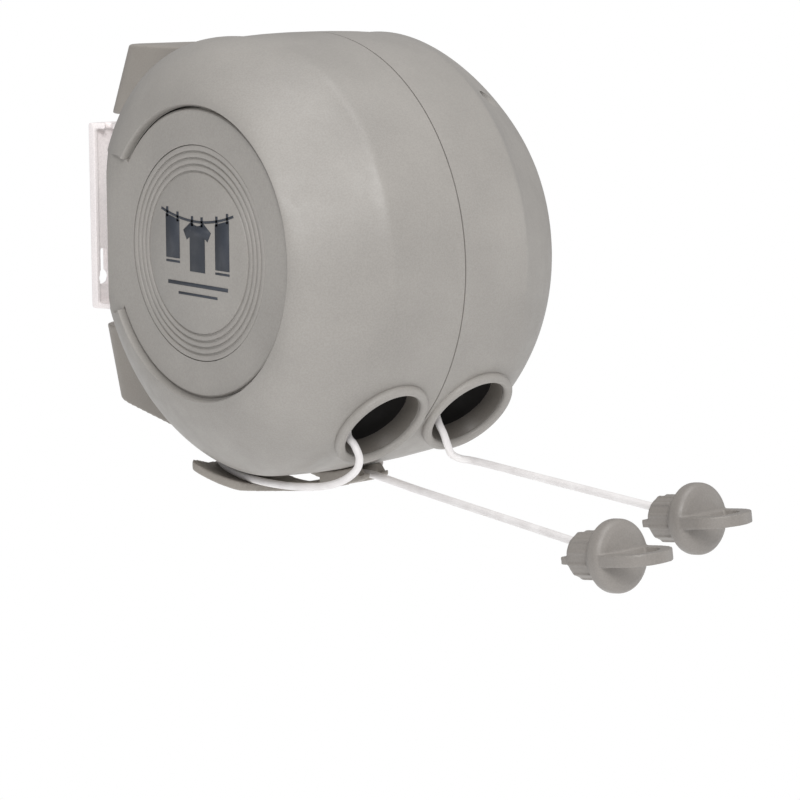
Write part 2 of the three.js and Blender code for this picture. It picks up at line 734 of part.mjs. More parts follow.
function addHandles() {
  add(housing, 'left_pull_handle', placedHandle(leftHandle, leftRunStart), darkGrey());
  add(housing, 'right_pull_handle', placedHandle(rightHandle, rightRunStart), darkGrey());
}

// ---- lines ----
// Out of its mouth, back under the housing, round the cleat's rear leg, between its legs and out.
const leftLineRoute = [
  [-23.6, -53.8, -50.9], [-24.8, -55.5, -53.5], [-28.8, -56.9, -57.8], [-33.3, -58.7, -63],
  [-34.9, -61.3, -67], [-33.7, -63.2, -69.8], [-33.2, -65.9, -75], [-33.5, -65.2, -79],
  [-34, -61.3, -82.9], [-34.3, -54.5, -86.6], [-34.3, -45.5, -89.6], [-34.2, -30, -92.4],
  [-34, -13, -94], [-34, 4, -94.2], [-33.8, 16, -92.9], [-32.5, 26, -90.8], [-28, 34.2, -88.3],
  [-20, 39.2, -86.3], [-9, 41, -85.6], [0, 40.6, -85.8], [8.4, 38.6, -86.7], [14.4, 33.6, -88.8],
  [16.8, 26, -91.2], [16.4, 17, -93.4], [13.4, 9.4, -94.5], [8.6, 3.4, -94.9], [3.6, -2.4, -94.9],
  [0.5, -9, -94.5], [0, -16, -93.5], [0, -24, -92.2],
];

const rightLineRoute = [
  [23.4, -53.8, -50.9], [22.2, -55.6, -53.5], [18.1, -57.3, -57.4], [14.2, -59.5, -62],
  [13.9, -61.3, -66.7], [15.9, -62.3, -71.6], [17.2, -63.6, -76.9], [18.8, -64, -80.4],
  [21.6, -66, -82.4], [23.6, -70.5, -82.8],
];

// From the coil to the throat.
const innerLineRoute = [
  [-21.5, 6.9, -47.7], [-21.5, -3.6, -49.6], [-22, -18, -49.9], [-23, -33, -49.5], [-23.5, -44, -48.5],
  [-23.5, -49, -48.4], [-23.5, -52.9, -50.1],
];

function addLines() {
  const leftEnd = behind(leftHandle, leftRunStart, 9.5);
  const rightEnd = behind(rightHandle, rightRunStart, 9.5);
  const leftRun = [0, 0.25, 0.5, 0.75, 1].map((k) => new THREE.Vector3(...leftRunStart)
    .lerp(new THREE.Vector3(...leftEnd), k).toArray());
  const rightRun = [0, 0.25, 0.5, 0.75, 1].map((k) => new THREE.Vector3(...rightRunStart)
    .lerp(new THREE.Vector3(...rightEnd), k).toArray());
  add(housing, 'left_line', tube([...leftLineRoute, ...leftRun], lineDiameter, 80), whiteVinyl());
  add(housing, 'right_line', tube([...rightLineRoute, ...rightRun], lineDiameter, 36), whiteVinyl());
  const inner = tube(innerLineRoute, lineDiameter, 14);
  add(housing, 'left_inner_line', inner, whiteVinyl());
  add(housing, 'right_inner_line', mirrored(inner), whiteVinyl());
}

addShells();
addShellScrews();
addLineGuides();
addAxle();
addPartition();
addReels();
addYoke();
addCleat();
addBracket();
addHandles();
addLines();

export default model;
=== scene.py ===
"""Retractable clothesline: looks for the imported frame. Metres, in the row frame."""
import json
import math

import bmesh
import bpy
import numpy as np
from mathutils import Matrix, Vector


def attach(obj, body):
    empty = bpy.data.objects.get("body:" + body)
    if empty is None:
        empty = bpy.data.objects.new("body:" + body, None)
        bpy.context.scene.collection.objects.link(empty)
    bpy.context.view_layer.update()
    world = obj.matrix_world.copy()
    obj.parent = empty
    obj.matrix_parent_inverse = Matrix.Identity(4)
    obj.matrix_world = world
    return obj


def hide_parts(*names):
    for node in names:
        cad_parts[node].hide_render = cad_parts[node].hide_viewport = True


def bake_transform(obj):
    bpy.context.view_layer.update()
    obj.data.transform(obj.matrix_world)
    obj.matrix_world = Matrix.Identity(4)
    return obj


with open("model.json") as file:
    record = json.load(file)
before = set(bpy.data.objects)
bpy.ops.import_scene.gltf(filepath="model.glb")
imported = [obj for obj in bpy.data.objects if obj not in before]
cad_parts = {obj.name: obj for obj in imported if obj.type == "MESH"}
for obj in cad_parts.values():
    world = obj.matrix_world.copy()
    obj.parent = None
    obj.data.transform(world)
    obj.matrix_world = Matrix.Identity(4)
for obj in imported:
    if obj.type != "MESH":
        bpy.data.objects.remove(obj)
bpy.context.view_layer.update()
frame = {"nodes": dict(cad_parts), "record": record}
NODES = frame["nodes"]

MM = 0.001
HOUSING = Vector((0.0, -133.0, -6.4))  # middle of the housing, in mm in the row frame
AXLE = (-7.3, 5.3)  # the reels' axle, from the middle of the housing, in Y and Z
LINE_DIAMETER = 3.2
AXLE_CENTRE = HOUSING + Vector((0, *AXLE))


def row(point):
    """Millimetres from the middle of the housing, as metres in the row frame."""
    return (HOUSING + Vector(point)) * MM


# ---- camera ----
CAMERA_AZIMUTH = math.radians(-41.42)
CAMERA_HEIGHT = math.radians(10.11)
CAMERA_PLACE = (-0.6997, -0.9791, 0.1253)
CAMERA_LENS = 117


def add_camera():
    data = bpy.data.cameras.new("camera")
    data.lens = CAMERA_LENS
    data.sensor_width = 36
    data.clip_start = 0.05
    data.clip_end = 30
    camera = bpy.data.objects.new("camera", data)
    bpy.context.scene.collection.objects.link(camera)
    right = Vector((math.cos(CAMERA_AZIMUTH), math.sin(CAMERA_AZIMUTH), 0))
    back = Vector((
        math.sin(CAMERA_AZIMUTH) * math.cos(CAMERA_HEIGHT),
        -math.cos(CAMERA_AZIMUTH) * math.cos(CAMERA_HEIGHT),
        math.sin(CAMERA_HEIGHT),
    ))
    up = back.cross(right)
    turn = Matrix((right, up, back)).transposed().to_4x4()
    camera.matrix_world = Matrix.Translation(CAMERA_PLACE) @ turn
    bpy.context.scene.camera = camera


add_camera()


# ---- mesh helpers ----
def mesh_object(name, vertices, faces):
    mesh = bpy.data.meshes.new(name)
    mesh.from_pydata([tuple(v) for v in vertices], [], [tuple(f) for f in faces])
    mesh.validate()
    made = bmesh.new()
    made.from_mesh(mesh)
    bmesh.ops.remove_doubles(made, verts=made.verts, dist=1e-7)
    bmesh.ops.recalc_face_normals(made, faces=made.faces)
    made.to_mesh(mesh)
    made.free()
    mesh.shade_smooth()
    obj = bpy.data.objects.new(name, mesh)
    bpy.context.scene.collection.objects.link(obj)
    return obj


def revolve(name, profile, sides, place):
    """A closed body turned from (radius, along) points, in mm. place(along, u, v) gives the point."""
    vertices = []
    faces = []
    count = len(profile)
    for i in range(sides):
        angle = 2 * math.pi * i / sides
        for radius, along in profile:
            vertices.append(place(along, radius * math.cos(angle), radius * math.sin(angle)))
    for i in range(sides):
        j = (i + 1) % sides
        for k in range(count - 1):
            starts_on_axis = profile[k][0] == 0
            ends_on_axis = profile[k + 1][0] == 0
            if starts_on_axis and ends_on_axis:
                continue
            face = [i * count + k, i * count + k + 1, j * count + k + 1, j * count + k]
            if starts_on_axis:
                face.pop(3)
            elif ends_on_axis:
                face.pop(2)
            faces.append(face)
    return mesh_object(name, vertices, faces)


def prism(name, outline, low, high, place):
    """An outline of (a, b) points raised from low to high. place(a, b, c) gives the point."""
    count = len(outline)
    vertices = [place(a, b, low) for a, b in outline] + [place(a, b, high) for a, b in outline]
    faces = [list(range(count)), list(range(2 * count - 1, count - 1, -1))]
    for i in range(count):
        j = (i + 1) % count
        faces.append([i, i + count, j + count, j])
    return mesh_object(name, vertices, faces)


def quadratic(a, b, c, steps=8):
    """Points on a curved corner from a to c, pulled towards b, without its first point."""
    points = []
    for i in range(1, steps + 1):
        t = i / steps
        points.append(tuple(
            (1 - t) ** 2 * p + 2 * t * (1 - t) * q + t * t * r for p, q, r in zip(a, b, c)
        ))
    return points


def arc(centre, radius, start, end, steps):
    """Points on a circle's arc, from the start to the end angle in degrees."""
    return [
        (centre[0] + radius * math.cos(math.radians(start + (end - start) * i / steps)),
         centre[1] + radius * math.sin(math.radians(start + (end - start) * i / steps)))
        for i in range(steps + 1)
    ]


def bake(obj):
    """Applies the modifiers of obj."""
    graph = bpy.context.evaluated_depsgraph_get()
    mesh = bpy.data.meshes.new_from_object(obj.evaluated_get(graph))
    obj.modifiers.clear()
    old = obj.data
    obj.data = mesh
    bpy.data.meshes.remove(old)
    return obj


def joined(name, parts):
    """One object that holds the meshes of several, which are removed."""
    made = bmesh.new()
    for part in parts:
        made.from_mesh(part.data)
        bpy.data.objects.remove(part)
    mesh = bpy.data.meshes.new(name)
    made.to_mesh(mesh)
    made.free()
    obj = bpy.data.objects.new(name, mesh)
    bpy.context.scene.collection.objects.link(obj)
    return obj


def moulded(obj, voxel, rounds):
    """One skin over everything in obj, with its corners rounded. voxel is in mm."""
    remesh = obj.modifiers.new("skin", "REMESH")
    remesh.mode = "VOXEL"
    remesh.voxel_size = voxel * MM
    remesh.use_smooth_shade = True
    if rounds:
        smooth = obj.modifiers.new("rounding", "SMOOTH")
        smooth.factor = 0.5
        smooth.iterations = rounds
    return bake(obj)


def cut(obj, *cutters):
    """Takes the cutters' solids away from obj, and removes the cutters."""
    for cutter in cutters:
        change = obj.modifiers.new("cut", "BOOLEAN")
        change.operation = "DIFFERENCE"
        change.solver = "MANIFOLD"
        change.object = cutter
        bake(obj)
        bpy.data.objects.remove(cutter)
    return obj


def creased(obj, degrees=38):
    """Smooth shading, with sharp edges where faces meet at more than this angle."""
    made = bmesh.new()
    made.from_mesh(obj.data)
    limit = math.radians(degrees)
    for face in made.faces:
        face.smooth = True
    for edge in made.edges:
        edge.smooth = len(edge.link_faces) != 2 or edge.calc_face_angle(0) < limit
    made.to_mesh(obj.data)
    made.free()
    return obj


def mirrored(obj, name):
    """A copy of obj on the other side of the mid plane."""
    mesh = obj.data.copy()
    mesh.transform(Matrix.Diagonal((-1, 1, 1, 1)))
    mesh.flip_normals()
    twin = bpy.data.objects.new(name, mesh)
    bpy.context.scene.collection.objects.link(twin)
    return twin


# ---- materials ----
def linear(value):
    """An 8-bit colour channel as linear light."""
    value /= 255
    return value / 12.92 if value <= 0.04045 else ((value + 0.055) / 1.055) ** 2.4


def colour(red, green, blue):
    return (linear(red), linear(green), linear(blue), 1.0)


def new_material(name):
    material = bpy.data.materials.new(name)
    material.use_nodes = True
    tree = material.node_tree
    shader = tree.nodes["Principled BSDF"]
    where = tree.nodes.new("ShaderNodeTexCoord").outputs["Object"]
    return material, tree, shader, where


def noise(tree, where, scale, detail=3.0, roughness=0.5, stretch=None):
    texture = tree.nodes.new("ShaderNodeTexNoise")
    texture.inputs["Scale"].default_value = scale
    texture.inputs["Detail"].default_value = detail
    texture.inputs["Roughness"].default_value = roughness
    source = where
    if stretch:
        mapping = tree.nodes.new("ShaderNodeMapping")
        mapping.inputs["Scale"].default_value = stretch
        tree.links.new(where, mapping.inputs["Vector"])
        source = mapping.outputs["Vector"]
    tree.links.new(source, texture.inputs["Vector"])
    return texture.outputs["Fac"]


def ramp(tree, value, stops):
    """A colour that runs through (position, colour) stops with the value."""
    node = tree.nodes.new("ShaderNodeValToRGB")
    elements = node.color_ramp.elements
    while len(elements) < len(stops):
        elements.new(0.5)
    for element, (position, shade) in zip(elements, stops):
        element.position = position
        element.color = shade
    tree.links.new(value, node.inputs["Fac"])
    return node.outputs["Color"]


def spread(tree, value, low, high):
    """A noise value, which mostly stays between 0.3 and 0.7, spread from low to high."""
    node = tree.nodes.new("ShaderNodeMapRange")
    node.inputs["From Min"].default_value = 0.3
    node.inputs["From Max"].default_value = 0.7
    node.inputs["To Min"].default_value = low
    node.inputs["To Max"].default_value = high
    tree.links.new(value, node.inputs["Value"])
    return node.outputs["Result"]


def bump(tree, shader, heights):
    """Adds bumps one on another: each is (height, strength, distance in mm)."""
    normal = None
    for height, strength, distance in heights:
        node = tree.nodes.new("ShaderNodeBump")
        node.inputs["Strength"].default_value = strength
        node.inputs["Distance"].default_value = distance * MM
        tree.links.new(height, node.inputs["Height"])
        if normal:
            tree.links.new(normal, node.inputs["Normal"])
        normal = node.outputs["Normal"]
    tree.links.new(normal, shader.inputs["Normal"])


def moulded_plastic(name, base, rough=(0.42, 0.56), grain=0.18, tone=0.05, specular=0.42):
    """Moulded plastic: broad colour drift, fine pigment speckle, satin grain and faint flow ripple."""
    material, tree, shader, where = new_material(name)
    drift = noise(tree, where, 34, 3)
    speckle = noise(tree, where, 1500, 2)
    darker = tuple(c * (1 - tone) for c in base[:3]) + (1,)
    lighter = tuple(min(1, c * (1 + tone)) for c in base[:3]) + (1,)
    broad = ramp(tree, drift, [(0.32, darker), (0.5, base), (0.68, lighter)])
    fine = ramp(tree, speckle, [(0.35, (0.94, 0.94, 0.94, 1)), (0.65, (1.04, 1.04, 1.04, 1))])
    mix = tree.nodes.new("ShaderNodeMix")
    mix.data_type = "RGBA"
    mix.blend_type = "MULTIPLY"
    mix.inputs["Factor"].default_value = 1.0
    tree.links.new(broad, mix.inputs["A"])
    tree.links.new(fine, mix.inputs["B"])
    tree.links.new(mix.outputs["Result"], shader.inputs["Base Color"])
    tree.links.new(spread(tree, noise(tree, where, 160, 4), *rough), shader.inputs["Roughness"])
    shader.inputs["Specular IOR Level"].default_value = specular
    bump(tree, shader, [
        (noise(tree, where, 60, 2), 0.12, 0.25),
        (noise(tree, where, 2600, 3, 0.6), grain, 0.05),
    ])
    return material


def metal(name, base, rough, stretch=(1, 1, 1)):
    """Metal with fine drawn streaks along one way and cloudy plating."""
    material, tree, shader, where = new_material(name)
    cloud = noise(tree, where, 220, 4)
    streak = noise(tree, where, 900, 4, 0.6, stretch)
    darker = tuple(c * 0.82 for c in base[:3]) + (1,)
    tree.links.new(ramp(tree, cloud, [(0.3, darker), (0.7, base)]), shader.inputs["Base Color"])
    shader.inputs["Metallic"].default_value = 1.0
    tree.links.new(spread(tree, streak, *rough), shader.inputs["Roughness"])
    bump(tree, shader, [(streak, 0.15, 0.04)])
    return material


def line_vinyl():
    """White vinyl over a braid, whose weave shows faintly through the skin."""
    material, tree, shader, where = new_material("line_vinyl")
    tint = noise(tree, where, 120, 3)
    tree.links.new(
        ramp(tree, tint, [(0.3, colour(220, 216, 215)), (0.7, colour(234, 231, 230))]),
        shader.inputs["Base Color"],
    )
    tree.links.new(spread(tree, noise(tree, where, 500, 3), 0.36, 0.5), shader.inputs["Roughness"])
    shader.inputs["Subsurface Weight"].default_value = 0.08
    shader.inputs["Subsurface Radius"].default_value = (0.001, 0.001, 0.001)
    braid = tree.nodes.new("ShaderNodeTexVoronoi")
    braid.inputs["Scale"].default_value = 900
    tree.links.new(where, braid.inputs["Vector"])
    bump(tree, shader, [
        (braid.outputs["Distance"], 0.12, 0.12),
        (noise(tree, where, 3000, 2), 0.1, 0.03),
    ])
    return material


HOUSING_PLASTIC = moulded_plastic("housing_plastic", colour(151, 147, 142))
DARK_PLASTIC = moulded_plastic("dark_plastic", colour(150, 144, 137), rough=(0.4, 0.55))
HANDLE_PLASTIC = moulded_plastic("handle_plastic", colour(137, 132, 127), rough=(0.38, 0.52))
BRACKET_PLASTIC = moulded_plastic(
    "bracket_plastic", colour(246, 239, 238), rough=(0.34, 0.48), tone=0.03,
)
# Near-black reel plastic, which the mouth liners also wear as painted shade inside the mouths.
REEL_PLASTIC_AND_PAINTED_SHADE = moulded_plastic("reel_plastic", colour(26, 24, 23), rough=(0.6, 0.8), specular=0.15)
# A darker grey for the sleeve inside each mouth's lip: painted shade on the mouth's inner wall.
SLEEVE_PAINTED_SHADE = moulded_plastic("mouth_sleeve_painted_shade", colour(98, 93, 87))
PRINT_INK = moulded_plastic("print_ink", colour(52, 56, 64), rough=(0.5, 0.65), grain=0.3)
ZINC_STEEL = metal("zinc_steel", colour(205, 208, 212), (0.22, 0.42))
SPRING_STEEL = metal("spring_steel", colour(120, 124, 130), (0.2, 0.4), (1, 0.2, 0.2))
LINE_VINYL = line_vinyl()
FINISHES = {
    "housing_plastic": HOUSING_PLASTIC,
    "dark_plastic": DARK_PLASTIC,
    "bracket_plastic": BRACKET_PLASTIC,
    "line_vinyl": LINE_VINYL,
    "reel_plastic": REEL_PLASTIC_AND_PAINTED_SHADE,
    "zinc_steel": ZINC_STEEL,
    "spring_steel": SPRING_STEEL,
}


def finish_piece(obj, material, body=None):
    obj.data.materials.clear()
    obj.data.materials.append(material)
    for face in obj.data.polygons:
        face.material_index = 0
    if body:
        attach(obj, body)
    return obj


def add_pair(left, material, replaced=None):
    """Finishes a left-hand piece and its mirror image, both fixed to the housing."""
    right = mirrored(left, left.name.replace("left", "right"))
    for side, obj in (("left", left), ("right", right)):
        finish_piece(obj, material, "housing")
        if replaced:
            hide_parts(f"{side}_{replaced}")


# ---- lines ----
def curve_through(points, per_span=10):
    """Points on the smooth centripetal curve through given ones."""
    p = [np.array(q, float) for q in points]
    p = [2 * p[0] - p[1]] + p + [2 * p[-1] - p[-2]]
    made = []
    for a, b, c, d in zip(p, p[1:], p[2:], p[3:]):
        t0 = 0.0
        t1 = t0 + np.linalg.norm(b - a) ** 0.5
        t2 = t1 + np.linalg.norm(c - b) ** 0.5
        t3 = t2 + np.linalg.norm(d - c) ** 0.5
        for k in range(per_span):
            t = t1 + (t2 - t1) * k / per_span
            a1 = (t1 - t) / (t1 - t0) * a + (t - t0) / (t1 - t0) * b
            a2 = (t2 - t) / (t2 - t1) * b + (t - t1) / (t2 - t1) * c
            a3 = (t3 - t) / (t3 - t2) * c + (t - t2) / (t3 - t2) * d
            b1 = (t2 - t) / (t2 - t0) * a1 + (t - t0) / (t2 - t0) * a2
            b2 = (t3 - t) / (t3 - t1) * a2 + (t - t1) / (t3 - t1) * a3
            made.append((t2 - t) / (t2 - t1) * b1 + (t - t1) / (t2 - t1) * b2)
    made.append(p[-2])
    return made


def swept_tube(name, points, diameter, sides=20):
    """A tube along points in mm, capped at both ends, with no twist along it."""
    p = [np.array(q, float) for q in points]
    count = len(p)
    along = [p[min(i + 1, count - 1)] - p[max(i - 1, 0)] for i in range(count)]
    along = [v / np.linalg.norm(v) for v in along]
    side = np.cross(along[0], (0.0, 0.0, 1.0))
    side /= np.linalg.norm(side)
    vertices = []
    for place, ahead in zip(p, along):
        side = side - ahead * side.dot(ahead)
        side /= np.linalg.norm(side)
        other = np.cross(ahead, side)
        for i in range(sides):
            angle = 2 * math.pi * i / sides
            out = (math.cos(angle) * side + math.sin(angle) * other) * diameter / 2
            vertices.append((place + out) * MM)
    faces = []
    for i in range(count - 1):
        for k in range(sides):
            m = (k + 1) % sides
            faces.append([i * sides + k, i * sides + m, (i + 1) * sides + m, (i + 1) * sides + k])
    faces.append(list(range(sides))[::-1])
    faces.append([(count - 1) * sides + k for k in range(sides)])
    return creased(mesh_object(name, vertices, faces), 60)


LEFT_HANDLE = Vector((-24, -201.6, -92.4))
RIGHT_HANDLE = Vector((24, -197.5, -86.2))
LEFT_RUN_START = Vector((0, -32, -91.1))
RIGHT_RUN_START = Vector((24, -76, -82.9))
LEFT_ROUTE = [
    (-23.6, -53.8, -50.9), (-24.8, -55.5, -53.5), (-28.8, -56.9, -57.8), (-33.3, -58.7, -63),
    (-34.9, -61.3, -67), (-33.7, -63.2, -69.8), (-33.2, -65.9, -75), (-33.5, -65.2, -79),
    (-34, -61.3, -82.9), (-34.3, -54.5, -86.6), (-34.3, -45.5, -89.6), (-34.2, -30, -92.4),
    (-34, -13, -94),
    (-34, 4, -94.2), (-33.8, 16, -92.9), (-32.5, 26, -90.8), (-28, 34.2, -88.3),
    (-20, 39.2, -86.3), (-9, 41, -85.6), (0, 40.6, -85.8), (8.4, 38.6, -86.7),
    (14.4, 33.6, -88.8), (16.8, 26, -91.2), (16.4, 17, -93.4), (13.4, 9.4, -94.5),
    (8.6, 3.4, -94.9), (3.6, -2.4, -94.9), (0.5, -9, -94.5), (0, -16, -93.5), (0, -24, -92.2),
]
RIGHT_ROUTE = [
    (23.4, -53.8, -50.9), (22.2, -55.6, -53.5), (18.1, -57.3, -57.4), (14.2, -59.5, -62),
    (13.9, -61.3, -66.7), (15.9, -62.3, -71.6), (17.2, -63.6, -76.9), (18.8, -64, -80.4),
    (21.6, -66, -82.4), (23.6, -70.5, -82.8),
]
INNER_ROUTE = [
    (-21.5, 6.9, -47.7), (-21.5, -3.6, -49.6), (-22, -18, -49.9), (-23, -33, -49.5),
    (-23.5, -44, -48.5), (-23.5, -49, -48.4), (-23.5, -52.9, -50.1),
]
HANDLE_INSIDE = 9.5  # a line ends this far behind its handle's flange


def add_line(side, route, run_start, handle):
    name = f"{side}_line_tube"
    end = handle + (run_start - handle).normalized() * HANDLE_INSIDE
    run = [run_start.lerp(end, k / 4) for k in range(5)]
    points = curve_through([HOUSING + Vector(q) for q in route] + [HOUSING + q for q in run])
    line = swept_tube(name, points, LINE_DIAMETER)
    finish_piece(line, LINE_VINYL)
    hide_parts(f"{side}_line")
    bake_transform(line)


def add_inner_lines():
    points = curve_through([HOUSING + Vector(q) for q in INNER_ROUTE], 6)
    left = swept_tube("left_inner_line_tube", points, LINE_DIAMETER, 14)
    add_pair(left, LINE_VINYL, "inner_line")


add_line("left", LEFT_ROUTE, LEFT_RUN_START, LEFT_HANDLE)
add_line("right", RIGHT_ROUTE, RIGHT_RUN_START, RIGHT_HANDLE)
add_inner_lines()

# ---- housing shells ----
HOUSING_RADIUS = 92.6
HALF_WIDTH = 71.5
FACE_X = 69.0
RIM_RADIUS = 60.0
BAND_HALF_WIDTH = 36.0
BAND_EDGE_RADIUS = 91.2
SHOULDER_SIDEWAYS = 1.4
SHOULDER_OUTWARDS = 1.54
SHOULDER_BACK = 2.5  # how far back the middle of the shoulder sits
WALL = 2.6
SEAM_GAP = 0.6
SIDES = 160
REAR_SLOPE = math.tan(math.radians(46))  # of the flat behind the side face, seen from above
REAR_START = 55.5  # how far behind the middle that flat meets the side face
SCREW_CIRCLE = 82
SCREW_ANGLES = (50, 95, 128, 258, 318)
SCREW_WELL_RADIUS = 3.6
BADGE_RADIUS = 43.8
BADGE_RINGS = (33.2, 35.9, 38.5, 41.2)
PRINT_RISE = 3.4  # how far the print sits above the axle
MOUTH_X = 23.5
MOUTH_PLACE = (-69.5, -63.0)
MOUTH_ANGLE = math.radians(38)
MOUTH_RADIUS = 17.6
MOUTH_RIM_RADIUS = 21.4
SHADE_LINER_START = 8.5  # how far inside the rim the near-black liner starts, which is painted shade inside the mouth
FUNNEL_DEPTH = 20.0
SHELL_VOXEL = 0.85
MOUTH_AXIS = Vector((0, -math.cos(MOUTH_ANGLE), -math.sin(MOUTH_ANGLE)))
MOUTH_UP = Vector((0, -math.sin(MOUTH_ANGLE), math.cos(MOUTH_ANGLE)))


def about_axle(along, u, v):
    """The place of a point about the axle, where along is sideways."""
    return (AXLE_CENTRE + Vector((along, u, v))) * MM


def out_of_round(angle):
    """The shoulder is fuller at the top of the back and at the mouths than between them."""
    twice = 3.4 * math.sin(2 * angle) - 1.6 * math.cos(2 * angle)
    return twice - 0.8 * math.sin(3 * angle) - 0.6 * math.cos(3 * angle)


def drifting(stations):
    """The points and faces of a body through (x, radius, up, bulge) rings.

    up moves a ring's middle from the axle, at 0, to the housing's, at 1.
    """
    vertices = []
    count = len(stations)
    for i in range(SIDES):
        angle = 2 * math.pi * i / SIDES
        for x, radius, up, bulge in stations:
            size = radius + bulge * out_of_round(angle)
            y = AXLE[0] * (1 - up ** 1.5) + bulge * SHOULDER_BACK + size * math.cos(angle)
            z = AXLE[1] * (1 - up ** 1.67) + size * math.sin(angle)
            vertices.append(row((x, y, z)))
    faces = []
    for i in range(SIDES):
        j = (i + 1) % SIDES
        for k in range(count - 1):
            faces.append([i * count + k, i * count + k + 1, j * count + k + 1, j * count + k])
    return vertices, faces


def shoulder_ring(t):
    """A ring on the rounded shoulder, from the side face's rim at 0 to the band at a right angle."""
    out = math.cos(t) ** (2 / SHOULDER_SIDEWAYS)
    up = math.sin(t) ** (2 / SHOULDER_OUTWARDS)
    x = BAND_HALF_WIDTH + (HALF_WIDTH - BAND_HALF_WIDTH) * out
    return (-x, RIM_RADIUS + (BAND_EDGE_RADIUS - RIM_RADIUS) * up, up, math.sin(2 * t))


def outer_body():
    """The left half of the housing as a plain solid, past the mid plane, with its side face full."""
    steps = 40
    rings = [(-HALF_WIDTH, 0, 0, 0), (-HALF_WIDTH, 30, 0, 0), (-HALF_WIDTH, RIM_RADIUS, 0, 0)]
    rings += [shoulder_ring(i / steps * math.pi / 2) for i in range(1, steps)]
    rings += [(-BAND_HALF_WIDTH, BAND_EDGE_RADIUS, 1, 0), (-30, 91.7, 1, 0), (-22, 92.2, 1, 0)]
    rings += [(-10, 92.55, 1, 0), (0, HOUSING_RADIUS, 1, 0), (6, HOUSING_RADIUS, 1, 0), (6, 0, 1, 0)]
    return mesh_object("outer_body", *drifting(rings))


def inner_room():
    """The hollow of the left shell, past the mid plane, with a boss left for the axle."""
    steps = 12
    rings = [(-FACE_X + 8, 0, 0, 0), (-FACE_X + 8, 11, 0, 0), (-FACE_X + WALL, 11, 0, 0)]
    rings.append((-FACE_X + WALL, 55, 0, 0))
    for i in range(1, steps):
        x, radius, up, bulge = shoulder_ring(i / steps * math.pi / 2)
        rings.append((x * 0.95, radius - WALL - 1.4, up, bulge))
    rings.append((-BAND_HALF_WIDTH + 1, BAND_EDGE_RADIUS - WALL, 1, 0))
    rings += [(8, HOUSING_RADIUS - WALL, 1, 0), (8, 0, 1, 0)]
    return mesh_object("inner_room", *drifting(rings))


def along_mouth(along, u, v):
    """The place of a point on the left mouth, where along is outwards from its rim's middle."""
    centre = HOUSING + Vector((-MOUTH_X, *MOUTH_PLACE))
    return (centre + MOUTH_AXIS * along + Vector((u, 0, 0)) + MOUTH_UP * v) * MM


def mouth_collar():
    """The swelling that carries the mouth, up to the fold behind its lip."""
    r = MOUTH_RIM_RADIUS
    return revolve("mouth_collar", [
        (0, -2), (r - 0.6, -2), (r - 0.1, -3.2), (r + 1.2, -4.6), (r + 2.4, -5.4),
        (r + 3.2, -6.6), (r + 3.6, -9.5), (r + 1.6, -12), (18.6, -14),
        (18.6, -FUNNEL_DEPTH - 1.5), (0, -FUNNEL_DEPTH - 1.5),
    ], 96, along_mouth)


def add_lips():
    """The thick rounded lip round each mouth, with the fold behind it."""
    r = MOUTH_RADIUS
    ring = [(r + 0.1, -2.4), (r + 0.1, -1.0)]
    ring += arc((r + 2.1, -0.9), 2.0, 180, 0, 14)
    ring += [(r + 4.1, -1.6), (r + 3.6, -2.6), (r + 2.6, -3.2), (r + 1.2, -3.2), (r + 0.1, -2.4)]
    left = creased(revolve("left_mouth_lip", ring, 120, along_mouth), 60)
    add_pair(left, HOUSING_PLASTIC)


def collar_inside():
    """What stays solid round the mouth when the shell is hollowed."""
    return revolve("collar_inside", [
        (0, 0), (19.5, 0), (19.5, -13), (18.8, -14),
        (18.8, -FUNNEL_DEPTH - 1.5), (0, -FUNNEL_DEPTH - 1.5),
    ], 64, along_mouth)


def mouth_funnel():
    """The mouth's bore, with the seat of its liner and the throat."""
    r = MOUTH_RADIUS
    return revolve("mouth_funnel", [
        (0, 4), (r + 2.4, 4), (r + 1.2, 0.5), (r + 0.4, -0.4), (r, -1.6), (r - 0.6, -SHADE_LINER_START),
        (r + 0.4, -SHADE_LINER_START), (r + 0.4, -FUNNEL_DEPTH + 0.5), (6.2, -FUNNEL_DEPTH + 0.5),
        (6.2, -FUNNEL_DEPTH - 3), (0, -FUNNEL_DEPTH - 3),
    ], 96, along_mouth)


def face_cutter():
    """What is cut from the full side face: the face inside the rim, and the groove at its foot."""
    cutter = revolve("face_cutter", [
        (0, -FACE_X - 8), (61.6, -FACE_X - 8), (61.6, -71.9), (60.8, -71.6), (60.3, -71.1),
        (60.0, -70.4), (59.9, -69.4), (59.8, -67.7), (59.5, -67.4), (58.9, -67.4),
        (58.5, -67.7), (58.3, -68.6), (57.8, -69.0), (0, -69.0),
    ], SIDES, about_axle)
    return cut(cutter, rim_gap(-FACE_X, -FACE_X + 6))


def rear_flat(inset):
    """What is cut off the rear corner of the housing's side, level with the rim's gap."""
    y = REAR_START - 1.4 * inset
    outline = [
        (-FACE_X - 10, y - 10 * REAR_SLOPE), (-FACE_X + 45, y + 45 * REAR_SLOPE),
        (-FACE_X + 45, 130), (-FACE_X - 10, 130),
    ]
    return prism("rear_flat", outline, -25 - inset, 42 + inset, lambda a, b, c: row((a, b, c)))


def rim_gap(low, high):
    """The rounded gap in the rim of the side face, towards the wall."""
    outline = [(36, 30)] + quadratic((36, 30), (38, 42), (46, 42)) + [(90, 42), (90, -25), (51, -25)]
    outline += quadratic((51, -25), (43, -25), (43.5, -16))
    return prism("rim_gap", outline, low, high, lambda a, b, c: row((c, a, b)))


def badge_seat():
    low, high, radius = -FACE_X - 1, -FACE_X + 1.5, BADGE_RADIUS + 0.25
    outline = [(0, low), (radius, low), (radius, high), (0, high)]
    return revolve("badge_seat", outline, SIDES, about_axle)


